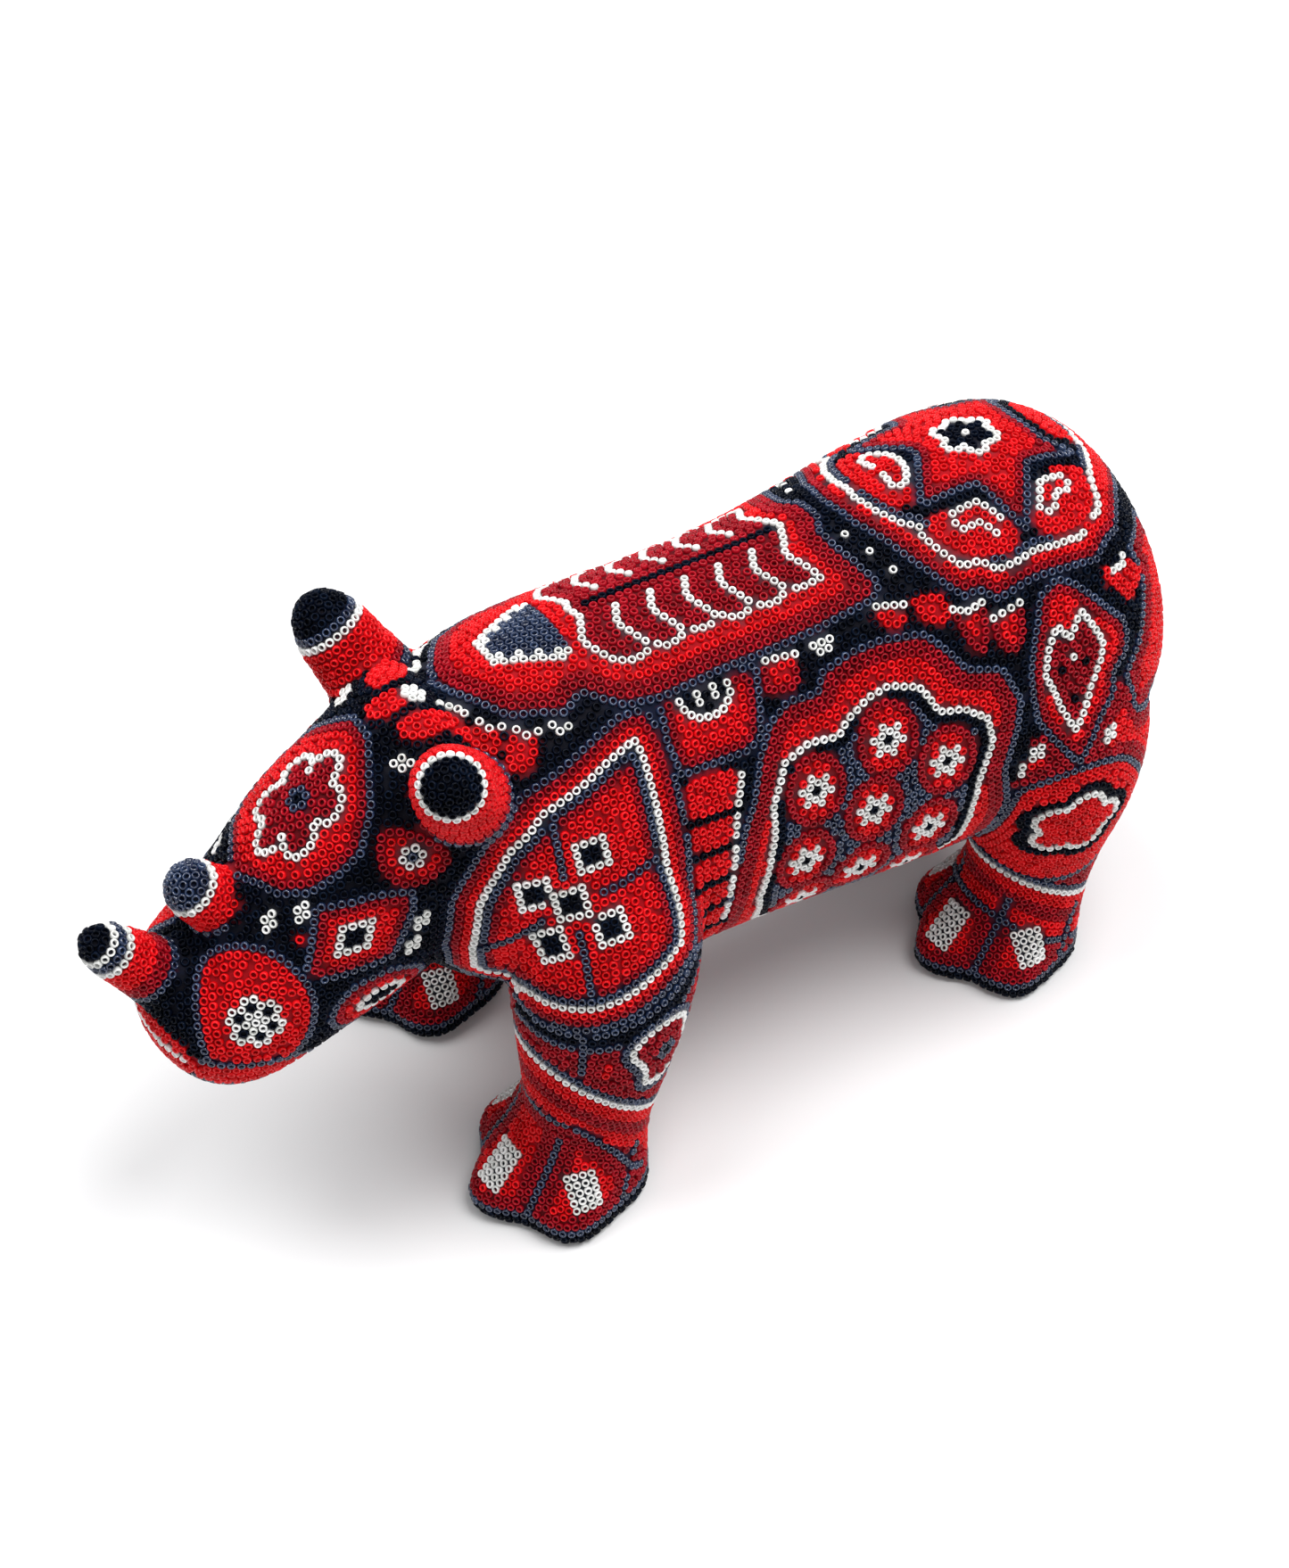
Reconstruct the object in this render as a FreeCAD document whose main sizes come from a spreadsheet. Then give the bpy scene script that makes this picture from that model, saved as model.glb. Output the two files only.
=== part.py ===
"""Beaded rhinoceros figurine: carved wooden pieces, pegged together, each under a coat of wax
that holds a layer of glass seed beads.

Frame: millimetres, +Z up, the animal faces -Y, its left side is +X, and the origin lies on the
floor under the middle of the figurine.

The torso, the head and the legs are smooth lofts through a few egg-shaped rings. Their sizes
are those of the finished beaded surface. The wax surface lies one bead depth inside it, and the
wood one wax coat further in. Where two limbs meet, GIVES_WAY_TO says which one gives way.
"""

import FreeCAD, Part
import math
import os

from FreeCAD import Placement, Rotation, Vector

doc = FreeCAD.newDocument("BeadedRhino")

# ---------------------------------------------------------------------------------------------
# Driving dimensions
# ---------------------------------------------------------------------------------------------

SIZES = {
    "bead_depth": 1.3,
    "wax_coat": 1.0,
    "sole_reveal": 0.25,
    "glue_gap": 0.05,
    "toe_relief": 0.10,
    "tip_flat": 0.6,
    "top_panel_height": 97.0,
    "hump_panel_end": -14.0,
    "saddle_panel_end": 60.0,
    "shoulder_panel_end": 6.0,
    "flank_panel_end": 64.0,
    "muzzle_panel_end": -88.0,
    "foot_panel_height": 25.0,
    "neck_dowel_radius": 4.0,
    "neck_dowel_length": 26.0,
    "neck_dowel_spacing": 18.0,
    "leg_dowel_radius": 3.5,
    "leg_dowel_length": 28.0,
    "ear_peg_radius": 1.6,
    "ear_peg_length": 12.0,
    "horn_peg_radius": 1.4,
    "horn_peg_length": 10.0,
    "tail_peg_radius": 0.9,
    "tail_peg_length": 9.0,
    "front_leg_dowel_across": 26.0,
    "front_leg_dowel_along": -30.0,
    "front_leg_dowel_height": 57.0,
    "hind_leg_dowel_across": 26.0,
    "hind_leg_dowel_along": 87.0,
    "hind_leg_dowel_height": 43.0,
    "left_ear_peg_middle": 7.0,
    "front_horn_peg_middle": 9.0,
    "rear_horn_peg_middle": 6.0,
    "tail_peg_along": 114.2,
    "tail_peg_height": 95.0,
}

# Rings of a limb that runs along a line in the middle plane or on the left side. Each has its
# centre, the height of its upper and lower halves, and its half width.
RING_VALUES = ("across", "along", "height", "upper", "lower", "half_width")

TORSO = {
    "chest_front": (0, -62, 80, 20, 18, 17),
    "chest": (0, -54, 80, 34, 28, 27),
    "neck_root": (0, -40, 79, 43, 36, 34),
    "hump": (0, -20, 76, 49, 40, 37),
    "saddle_front": (0, 5, 72, 53, 38, 36.5),
    "saddle_back": (0, 35, 70, 55, 38, 38.5),
    "loin": (0, 62, 71, 58, 41, 41),
    "rump": (0, 85, 74, 56, 43, 42.5),
    "haunch": (0, 104, 77, 47, 40, 39),
    "buttock": (0, 116, 77, 33, 29, 30),
    "rump_end": (0, 121, 77, 14, 13, 13),
}
HEAD = {
    "nape": (0, -38, 96, 24, 22, 24),
    "poll": (0, -52, 92, 30, 27, 25.5),
    "brow": (0, -67, 84, 28, 27, 24),
    "cheek": (0, -83, 74, 23, 23, 23),
    "nose": (0, -97, 66, 19.5, 19, 21.5),
    "lip": (0, -107, 61, 16.5, 16, 18),
    "mouth": (0, -112.5, 58.5, 10.5, 11, 12),
    "mouth_front": (0, -114.5, 57.5, 5, 5, 5.5),
}

# Rings of a leg lie flat: their centre, then their reach to the back and front, and half width.
FRONT_LEG = {
    "front_withers": (21, -24, 92, 14, 14, 12),
    "front_shoulder": (29, -27, 66, 21, 21, 18.5),
    "front_elbow": (32, -30, 46, 18, 19, 17.5),
    "front_shin": (33, -33, 31, 15, 16, 15.5),
    "front_ankle": (33, -36, 20, 14.5, 15, 15),
    "front_toes": (33, -42, 9, 18.5, 18.5, 18.5),
    "front_sole": (33, -43, 0, 19.5, 18.5, 19.5),
}
HIND_LEG = {
    "hind_croup": (22, 86, 94, 19, 17, 15),
    "hind_thigh": (28, 86, 68, 25, 24, 20.5),
    "hind_knee": (29, 88, 47, 20, 20, 18.5),
    "hind_shin": (28.5, 88, 31, 15.5, 16, 15.5),
    "hind_ankle": (28.5, 86, 20, 15, 15, 15),
    "hind_toes": (28.5, 80, 9, 18.5, 18.5, 18.5),
    "hind_sole": (28.5, 79, 0, 19.5, 18.5, 19.5),
}

# Ears, horns and the tail are blunt spikes: a cone from the root, then a rounded nose. Each has
# the ends of its centre line, its radius at the root and at the nose, and the nose's length.
SPIKE_VALUES = ("root_x", "root_y", "root_z", "tip_x", "tip_y", "tip_z",
                "root_radius", "nose_radius", "nose_length")
SPIKES = {
    "left_ear": (15.5, -48, 104.5, 29.2, -59.3, 130.3, 10.6, 8.2, 13),
    "front_horn": (0, -105.5, 69, 0, -123.8, 96, 8.8, 5.8, 11),
    "rear_horn": (0, -93, 84, 0, -104.3, 101.5, 7.8, 6.3, 7.5),
    "tail": (0, 117, 97, 0, 122.5, 60, 4.4, 4.0, 5),
}

sheet = doc.addObject("Spreadsheet::Sheet", "Sizes")
sheet_rows = 0


def put(alias, value):
    """Write one named number in the next free row of the sheet."""
    global sheet_rows
    sheet_rows += 1
    sheet.set(f"A{sheet_rows}", alias)
    sheet.set(f"B{sheet_rows}", str(value))
    sheet.setAlias(f"B{sheet_rows}", alias)


for alias, value in SIZES.items():
    put(alias, value)
for rings in (TORSO, HEAD, FRONT_LEG, HIND_LEG):
    for station, values in rings.items():
        for word, value in zip(RING_VALUES, values):
            put(f"{station}_{word}", value)
for spike_name, values in SPIKES.items():
    for word, value in zip(SPIKE_VALUES, values):
        put(f"{spike_name}_{word}", value)
doc.recompute()


def size(alias):
    return float(sheet.get(alias))


def spike_end(name, end):
    return Vector(*(size(f"{name}_{end}_{axis}") for axis in "xyz"))


# Depth of each level under the finished surface.
LEVELS = {
    "beads": 0.0,
    "wax": size("bead_depth"),
    "core": size("bead_depth") + size("wax_coat"),
}

ROUND_RING_POINTS = 12
FOOT_RING_POINTS = 20
TOES_IN_A_TURN = 5
FRONT_ANGLE = -math.pi / 2
SEAM_ANGLE = math.radians(70)


# ---------------------------------------------------------------------------------------------
# Forms
# ---------------------------------------------------------------------------------------------

def ring(name, count, centre, side, up, half_width, upper, lower, toes=0.0):
    """A closed egg-shaped ring. It is no primitive's outline, so it is a curve of Part's own."""
    points = []
    for index in range(count):
        turn = SEAM_ANGLE + 2 * math.pi * index / count
        reach = upper if math.sin(turn) > 0 else lower
        to_front = (1 - math.sin(turn)) / 2
        lobe = 1 + toes * to_front * math.cos(TOES_IN_A_TURN * (turn - FRONT_ANGLE))
        points.append(centre + side * (half_width * lobe * math.cos(turn))
                      + up * (reach * lobe * math.sin(turn)))
    curve = Part.BSplineCurve()
    curve.interpolate(points, True)
    feature = doc.addObject("Part::Feature", name)
    feature.Shape = Part.Wire([curve.toShape()])
    return feature


def loft(name, rings):
    feature = doc.addObject("Part::Loft", name)
    feature.Sections = rings
    feature.Solid = True
    feature.Ruled = False
    return feature


def leans(places, girths):
    """How far the outline leans at each ring: the cosine and sine of its angle to the line."""
    result = []
    last = len(places) - 1
    for index in range(len(places)):
        before, after = max(index - 1, 0), min(index + 1, last)
        run = (places[after] - places[before]).Length
        rise = girths[before] - girths[after]
        slope = math.hypot(run, rise)
        result.append((run / slope, rise / slope))
    return result


def limb(name, level, stations, tilted=False, flat=False):
    """One level of the torso, the head or a leg, from its stations in the sheet."""
    depth = LEVELS[level]
    names = list(stations)
    centres = [Vector(size(f"{s}_across"), size(f"{s}_along"), size(f"{s}_height")) for s in names]
    girths = [(size(f"{s}_upper") + size(f"{s}_lower") + 2 * size(f"{s}_half_width")) / 4
              for s in names]
    last = len(names) - 1
    rings = []
    for index, (station, (cosine, sine)) in enumerate(zip(names, leans(centres, girths))):
        before, after = max(index - 1, 0), min(index + 1, last)
        line = (centres[after] - centres[before]).normalize()
        sole = flat and index == last
        inset = 0.0 if flat else sine * depth
        if not flat and index == 0:
            inset = -depth
        if not flat and index == last:
            inset = depth
        centre = centres[index] - line * inset
        thinner = depth * (1.0 if flat else cosine)
        side = Vector(1, 0, 0)
        up = Vector(0, 0, 1)
        if flat:
            up = Vector(0, 1, 0)
        elif tilted:
            up = side.cross(line)
            up = up if up.z > 0 else -up
        if sole and level != "core":
            centre = centre + Vector(0, 0, size("sole_reveal"))
        toes = size("toe_relief") if flat and index >= last - 1 else 0.0
        points = FOOT_RING_POINTS if flat else ROUND_RING_POINTS
        rings.append(ring(f"{station}_{level}_ring", points, centre, side, up,
                          size(f"{station}_half_width") - thinner,
                          size(f"{station}_upper") - thinner,
                          size(f"{station}_lower") - thinner, toes))
    return loft(f"{name}_{level}_form", rings)


def spike(name, level):
    """One level of an ear, a horn or the tail: a tapered shank with a rounded nose and a small
    flat at its tip, turned round the centre line."""
    depth = LEVELS[level]
    root, tip = spike_end(name, "root"), spike_end(name, "tip")
    root_radius = size(f"{name}_root_radius") - depth
    nose_radius = size(f"{name}_nose_radius") - depth
    nose_length = size(f"{name}_nose_length") - depth
    shank = (tip - root).Length - size(f"{name}_nose_length")
    flat = size("tip_flat")
    flat_turn = math.asin(flat / nose_radius)
    flat_height = shank + nose_length * math.cos(flat_turn)
    centre = Vector(0, 0, shank)
    shoulder = Vector(nose_radius, 0, shank)
    end = Vector(0, 0, shank + nose_length)
    if nose_length > nose_radius:
        nose = Part.ArcOfEllipse(Part.Ellipse(end, shoulder, centre), flat_turn, math.pi / 2)
    else:
        nose = Part.ArcOfEllipse(Part.Ellipse(shoulder, end, centre), 0, math.pi / 2 - flat_turn)
    outline = [
        Part.LineSegment(Vector(0, 0, 0), Vector(root_radius, 0, 0)),
        Part.LineSegment(Vector(root_radius, 0, 0), shoulder),
        nose,
        Part.LineSegment(Vector(flat, 0, flat_height), Vector(0, 0, flat_height)),
        Part.LineSegment(Vector(0, 0, flat_height), Vector(0, 0, 0)),
    ]
    edges = Part.__sortEdges__([curve.toShape() for curve in outline])
    profile = doc.addObject("Part::Feature", f"{name}_{level}_profile")
    profile.Shape = Part.Face(Part.Wire(edges))
    form = doc.addObject("Part::Revolution", f"{name}_{level}_form")
    form.Source = profile
    form.Axis = Vector(0, 0, 1)
    form.Angle = 360
    form.Placement = Placement(root, Rotation(Vector(0, 0, 1), tip - root))
    return form


# ---------------------------------------------------------------------------------------------
# Booleans
# ---------------------------------------------------------------------------------------------

def cut(name, base, tools):
    """base less each of tools, one Part::Cut after another; the last one carries the name."""
    result = base
    for index, tool in enumerate(tools):
        step = doc.addObject("Part::Cut", name if index == len(tools) - 1 else f"{name}_cut{index}")
        step.Base, step.Tool = result, tool
        step.Refine = False
        result = step
    return result


def common(name, base, tool):
    result = doc.addObject("Part::Common", name)
    result.Base, result.Tool = base, tool
    result.Refine = False
    return result


def mirror(name, source):
    """The same piece on the animal's right side."""
    result = doc.addObject("Part::Mirroring", name)
    result.Source = source
    result.Normal = Vector(1, 0, 0)
    return result


PIECES = {}


def keep(label, feature):
    """Record a finished sub-part under its label."""
    feature.Label = label
    PIECES[label] = feature


# ---------------------------------------------------------------------------------------------
# Forms: each limb at its three levels
# ---------------------------------------------------------------------------------------------

forms = {}
for level in LEVELS:
    forms["torso", level] = limb("torso", level, TORSO)
    forms["head", level] = limb("head", level, HEAD, tilted=True)
    forms["left_front_leg", level] = limb("left_front_leg", level, FRONT_LEG, flat=True)
    forms["left_hind_leg", level] = limb("left_hind_leg", level, HIND_LEG, flat=True)
    for spike_name in SPIKES:
        forms[spike_name, level] = spike(spike_name, level)
    for limb_name in ("front_leg", "hind_leg", "ear"):
        forms[f"right_{limb_name}", level] = mirror(f"right_{limb_name}_{level}_form",
                                                    forms[f"left_{limb_name}", level])

# The limbs that each limb's three levels give way to, and those that pass through its coats.
GIVES_WAY_TO = {
    "torso": (),
    "head": ("torso",),
    "left_front_leg": ("torso",),
    "left_hind_leg": ("torso",),
    "left_ear": ("torso", "head"),
    "front_horn": ("head",),
    "rear_horn": ("head",),
    "tail": ("torso",),
}
PASSED_BY = {
    "torso": ("head", "left_front_leg", "right_front_leg", "left_hind_leg", "right_hind_leg",
              "left_ear", "right_ear", "tail"),
    "head": ("left_ear", "right_ear", "front_horn", "rear_horn"),
}

# ---------------------------------------------------------------------------------------------
# Dowels and pegs, each centred on the joint that it holds
# ---------------------------------------------------------------------------------------------

FORWARD = Vector(0, -1, 0)
DOWN = Vector(0, 0, -1)


def dowel_place(name):
    return Vector(*(size(f"{name}_{word}") for word in ("across", "along", "height")))


def spike_peg(name):
    """The middle and the direction of a peg on the centre line of an ear or a horn."""
    line = (spike_end(name, "tip") - spike_end(name, "root")).normalize()
    return spike_end(name, "root") + line * size(f"{name}_peg_middle"), line


neck_face = Vector(0, size("chest_front_along") + LEVELS["core"], size("chest_front_height"))
half_spacing = Vector(0, 0, size("neck_dowel_spacing") / 2)
tail_peg_middle = Vector(0, size("tail_peg_along"), size("tail_peg_height"))

# For each rod: the words of its sizes, its middle, its direction and the cores that it enters.
RODS = {
    "upper_neck_dowel": ("neck_dowel", neck_face + half_spacing, FORWARD, ("torso", "head")),
    "lower_neck_dowel": ("neck_dowel", neck_face - half_spacing, FORWARD, ("torso", "head")),
    "left_front_leg_dowel": ("leg_dowel", dowel_place("front_leg_dowel"), DOWN,
                             ("torso", "left_front_leg")),
    "left_hind_leg_dowel": ("leg_dowel", dowel_place("hind_leg_dowel"), DOWN,
                            ("torso", "left_hind_leg")),
    "left_ear_peg": ("ear_peg", *spike_peg("left_ear"), ("torso", "head", "left_ear")),
    "front_horn_peg": ("horn_peg", *spike_peg("front_horn"), ("head", "front_horn")),
    "rear_horn_peg": ("horn_peg", *spike_peg("rear_horn"), ("head", "rear_horn")),
    "tail_peg": ("tail_peg", tail_peg_middle, FORWARD, ("torso", "tail")),
}


def rod(name, words, middle, direction, gap=""):
    """A rod round its middle, or its socket when gap names the cell of the clearance."""
    feature = doc.addObject("Part::Cylinder", name)
    clearance = size(gap) if gap else 0.0
    start = middle - direction * (size(f"{words}_length") / 2 + clearance)
    feature.Placement = Placement(start, Rotation(Vector(0, 0, 1), direction))
    feature.setExpression("Radius", f"Sizes.{words}_radius" + (f" + Sizes.{gap}" if gap else ""))
    feature.setExpression("Height",
                          f"Sizes.{words}_length" + (f" + 2 * Sizes.{gap}" if gap else ""))
    return feature


sockets = {limb_name: [] for limb_name in GIVES_WAY_TO}
for rod_name, (words, middle, direction, cores) in RODS.items():
    piece = rod(rod_name, words, middle, direction)
    keep(rod_name, piece)
    socket = rod(f"{rod_name}_socket", words, middle, direction, gap="glue_gap")
    mirrored = rod_name.startswith("left_")
    if mirrored:
        keep(rod_name.replace("left_", "right_"),
             mirror(rod_name.replace("left_", "right_"), piece))
    for core in cores:
        sockets[core].append(socket)
        if mirrored and not core.startswith("left_"):
            sockets[core].append(mirror(f"{rod_name}_socket_mirrored_in_{core}", socket))

# ---------------------------------------------------------------------------------------------
# Cores, wax coats and bead layers
# ---------------------------------------------------------------------------------------------

def keep_pair(label, feature):
    """Keep a sub-part and, when it is a left one, its right twin."""
    keep(label, feature)
    if label.startswith("left_"):
        right_label = label.replace("left_", "right_")
        keep(right_label, mirror(right_label, feature))


def whole_layer(limb_name, name):
    """A limb's bead layer, less the limbs that it gives way to but not those that pass it."""
    return cut(name, forms[limb_name, "beads"],
               [forms[limb_name, "wax"]]
               + [forms[other, "beads"] for other in GIVES_WAY_TO[limb_name]])


for limb_name, stronger in GIVES_WAY_TO.items():
    weaker = PASSED_BY.get(limb_name, ())
    keep_pair(f"{limb_name}_core",
              cut(f"{limb_name}_core", forms[limb_name, "core"],
                  [forms[other, "core"] for other in stronger] + sockets[limb_name]))
    keep_pair(f"{limb_name}_wax",
              cut(f"{limb_name}_wax", forms[limb_name, "wax"],
                  [forms[limb_name, "core"]] + [forms[other, "wax"] for other in stronger]
                  + [forms[other, "core"] for other in weaker]))
for spike_name in SPIKES:
    keep_pair(f"{spike_name}_beads", whole_layer(spike_name, f"{spike_name}_beads"))

# ---------------------------------------------------------------------------------------------
# Bead panels: the larger bead layers divided along the seams of the pattern
# ---------------------------------------------------------------------------------------------

FAR = "300"
TOP = "Sizes.top_panel_height"
HUMP, SADDLE = "Sizes.hump_panel_end", "Sizes.saddle_panel_end"
SHOULDER, FLANK = "Sizes.shoulder_panel_end", "Sizes.flank_panel_end"
MUZZLE, FOOT = "Sizes.muzzle_panel_end", "Sizes.foot_panel_height"


def block(name, low, high):
    """A box between two corners, whose coordinates are expressions."""
    feature = doc.addObject("Part::Box", name)
    for axis, side, start, end in zip("xyz", ("Length", "Width", "Height"), low, high):
        feature.setExpression(f"Placement.Base.{axis}", start)
        feature.setExpression(side, f"({end}) - ({start})")
    return feature


def panel(label, layer, low, high, passing=()):
    """The part of a bead layer inside a block, less the limbs that pass through it."""
    whole = common(f"{label}_whole", layer, block(f"{label}_block", low, high))
    keep_pair(label, cut(label, whole, [forms[other, "wax"] for other in passing]))


torso_layer = cut("torso_layer", whole_layer("torso", "torso_shell"), [forms["head", "wax"]])
panel("hump_beads", torso_layer, (f"-{FAR}", f"-{FAR}", TOP), (FAR, HUMP, FAR),
      ("left_ear", "right_ear"))
panel("saddle_beads", torso_layer, (f"-{FAR}", HUMP, TOP), (FAR, SADDLE, FAR))
panel("rump_beads", torso_layer, (f"-{FAR}", SADDLE, TOP), (FAR, FAR, FAR))
panel("left_shoulder_beads", torso_layer, ("0", f"-{FAR}", f"-{FAR}"), (FAR, SHOULDER, TOP),
      ("left_front_leg", "left_ear"))
panel("left_flank_beads", torso_layer, ("0", SHOULDER, f"-{FAR}"), (FAR, FLANK, TOP))
panel("left_haunch_beads", torso_layer, ("0", FLANK, f"-{FAR}"), (FAR, FAR, TOP),
      ("left_hind_leg", "tail"))

head_layer = whole_layer("head", "head_layer")
panel("face_beads", head_layer, (f"-{FAR}", MUZZLE, f"-{FAR}"), (FAR, FAR, FAR),
      ("left_ear", "right_ear", "rear_horn"))
panel("muzzle_beads", head_layer, (f"-{FAR}", f"-{FAR}", f"-{FAR}"), (FAR, MUZZLE, FAR),
      ("front_horn", "rear_horn"))

for leg in ("left_front_leg", "left_hind_leg"):
    leg_layer = whole_layer(leg, f"{leg}_layer")
    panel(f"{leg}_beads", leg_layer, (f"-{FAR}", f"-{FAR}", FOOT), (FAR, FAR, FAR))
    panel(leg.replace("leg", "foot_beads"), leg_layer,
          (f"-{FAR}", f"-{FAR}", f"-{FAR}"), (FAR, FAR, FOOT))

# ---------------------------------------------------------------------------------------------
# Check and write
# ---------------------------------------------------------------------------------------------

doc.recompute()
for feature in doc.Objects:
    if {"Invalid", "Error"} & set(feature.State):
        raise RuntimeError(f"{feature.Label} failed: {feature.State}")
for label, feature in PIECES.items():
    if feature.Shape.isNull() or not feature.Shape.isValid() or feature.Shape.Volume <= 0:
        raise RuntimeError(f"{label} has no valid shape")

os.makedirs("parts", exist_ok=True)
for label, feature in PIECES.items():
    shape = feature.Shape
    solid = shape.Solids[0] if len(shape.Solids) == 1 else Part.makeCompound(shape.Solids)
    solid.exportStep(f"parts/{label}.step")
    print(f"{label}: {len(shape.Solids)} solid, {shape.Volume:.1f} mm3")
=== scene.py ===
"""Beaded rhinoceros: some 21,000 glass seed beads set in wax, row by row, over the
carved figure of the CAD frame, with a plain pale floor, soft studio light and a camera.

The pattern is drawn in millimetres on flat views of the figure, from its left side, its top
and so on, and each drawn line is then laid on the surface. Bead rows run along the outlines,
as they do on real beadwork, and the rest is filled in from them, row against row.
"""

import math

import bpy
import numpy as np
from mathutils import Matrix, Vector
from mathutils.bvhtree import BVHTree
from mathutils.kdtree import KDTree


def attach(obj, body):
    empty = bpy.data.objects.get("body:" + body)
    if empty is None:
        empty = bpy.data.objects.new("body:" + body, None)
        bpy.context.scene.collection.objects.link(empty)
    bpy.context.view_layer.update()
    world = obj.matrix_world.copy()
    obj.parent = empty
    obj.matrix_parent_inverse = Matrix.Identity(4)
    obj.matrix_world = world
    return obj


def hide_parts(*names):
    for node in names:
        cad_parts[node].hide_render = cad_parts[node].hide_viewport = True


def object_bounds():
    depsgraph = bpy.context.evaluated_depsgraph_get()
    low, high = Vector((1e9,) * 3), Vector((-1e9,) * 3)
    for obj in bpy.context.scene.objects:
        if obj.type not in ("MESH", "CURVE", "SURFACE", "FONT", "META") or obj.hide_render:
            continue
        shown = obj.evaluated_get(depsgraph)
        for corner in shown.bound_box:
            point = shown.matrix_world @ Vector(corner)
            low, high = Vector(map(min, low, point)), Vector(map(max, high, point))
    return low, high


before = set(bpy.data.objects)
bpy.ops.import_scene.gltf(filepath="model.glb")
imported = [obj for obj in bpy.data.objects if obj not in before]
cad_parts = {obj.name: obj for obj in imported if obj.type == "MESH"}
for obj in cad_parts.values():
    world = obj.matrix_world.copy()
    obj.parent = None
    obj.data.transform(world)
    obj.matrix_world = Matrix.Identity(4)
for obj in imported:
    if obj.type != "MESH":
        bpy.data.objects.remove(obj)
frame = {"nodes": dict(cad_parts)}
cad_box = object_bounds()
random = np.random.default_rng(11)

MM = 0.001
# Sizes in millimetres: the step along a row and between rows, the bead, how far the middle of
# a bead and the top of the wax lie under the skin, and how far off it no bead is set.
PITCH = 1.98
ROW = 1.76
BEAD_RADIUS = 0.95
BEAD_HALF_HEIGHT = 0.68
BEAD_SINK = 0.66
WAX_SINK = 0.80
OFF_SKIN = 0.6
TOO_NEAR = 0.80 * PITCH
LINE_STEP = 0.5
# Filled in: how far apart two beads may be for the next to be pushed in between them, its step
# from both, the least gap, the gap they relax to, and the share of it made up in each round.
FILL_REACH = 1.75 * PITCH
FILL_STEP = 0.965 * PITCH
FILL_GAP = 0.88 * PITCH
FILL_REST = 1.06 * PITCH
FILL_PUSH = 0.35
# No bead is filled in lower than this, so that the feet stand on the floor.
LOWEST = 1.2
# How far behind the hindmost point of its outline a motif still covers the skin.
BEHIND = 6
RED, DARK, BLACK, NAVY, WHITE = range(5)
LETTERS = {"R": RED, "D": DARK, "K": BLACK, "N": NAVY, "W": WHITE}
COLOUR_NAMES = ("red", "dark_red", "black", "navy", "white")
# The middle line of the pattern on the back, which isn't quite the figure's own.
TOP_CENTRE = -3.5

# ---- Skin: one closed surface round every CAD node ----

def mesh_arrays(mesh):
    """Corners and triangles of a mesh."""
    mesh.calc_loop_triangles()
    verts = np.zeros(len(mesh.vertices) * 3)
    mesh.vertices.foreach_get("co", verts)
    tris = np.zeros(len(mesh.loop_triangles) * 3, np.int32)
    mesh.loop_triangles.foreach_get("vertices", tris)
    return verts.reshape(-1, 3), tris.reshape(-1, 3)


def joined(names):
    """Corners and triangles of several CAD nodes, and the number of each triangle's node."""
    verts, faces, owner, start = [], [], [], 0
    for number, name in enumerate(names):
        node_verts, node_faces = mesh_arrays(frame["nodes"][name].data)
        verts.append(node_verts)
        faces.append(node_faces + start)
        owner += [number] * len(node_faces)
        start += len(node_verts)
    return np.concatenate(verts), np.concatenate(faces), np.array(owner)


def mesh_object(name, verts, faces):
    """A new object from arrays of corners and of equal-sided faces."""
    mesh = bpy.data.meshes.new(name)
    sides = faces.shape[1]
    mesh.vertices.add(len(verts))
    mesh.vertices.foreach_set("co", np.asarray(verts, np.float32).ravel())
    mesh.loops.add(faces.size)
    mesh.loops.foreach_set("vertex_index", np.asarray(faces, np.int32).ravel())
    mesh.polygons.add(len(faces))
    mesh.polygons.foreach_set("loop_start", np.arange(0, faces.size, sides, dtype=np.int32))
    mesh.update(calc_edges=True)
    mesh.validate()
    obj = bpy.data.objects.new(name, mesh)
    bpy.context.scene.collection.objects.link(obj)
    return obj


def make_skin():
    obj = mesh_object("skin", *joined(frame["nodes"])[:2])
    remesh = obj.modifiers.new("Remesh", "REMESH")
    remesh.mode = "VOXEL"
    remesh.voxel_size = 1.1 * MM
    smooth = obj.modifiers.new("Smooth", "SMOOTH")
    smooth.iterations = 3
    shown = obj.evaluated_get(bpy.context.evaluated_depsgraph_get())
    verts, tris = mesh_arrays(shown.to_mesh())
    shown.to_mesh_clear()
    bpy.data.objects.remove(obj)
    return verts / MM, tris


skin, skin_tris = make_skin()
corner = skin[skin_tris]
face_cross = np.cross(corner[:, 1] - corner[:, 0], corner[:, 2] - corner[:, 0])
skin_normal = np.zeros_like(skin)
for side in range(3):
    np.add.at(skin_normal, skin_tris[:, side], face_cross)
skin_normal /= np.linalg.norm(skin_normal, axis=1, keepdims=True)
skin_tree = BVHTree.FromPolygons(skin.tolist(), skin_tris.tolist())


def on_skin(point):
    """The nearest surface point and the smooth outward normal there."""
    place, _, index, _ = skin_tree.find_nearest(point)
    normal = skin_normal[skin_tris[index]].mean(axis=0)
    return np.array(place), normal / np.linalg.norm(normal)


# ---- Views: the flat drawings that the pattern is laid out on ----

# For each view: the axes of its two coordinates, the axis it looks along and from which side.
VIEWS = {
    "left": (1, 2, 0, 1),
    "right": (1, 2, 0, -1),
    "top": (0, 1, 2, 1),
    "under": (0, 1, 2, -1),
    "front": (0, 2, 1, -1),
    "back": (0, 2, 1, 1),
}
FAR = 300.0


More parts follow.
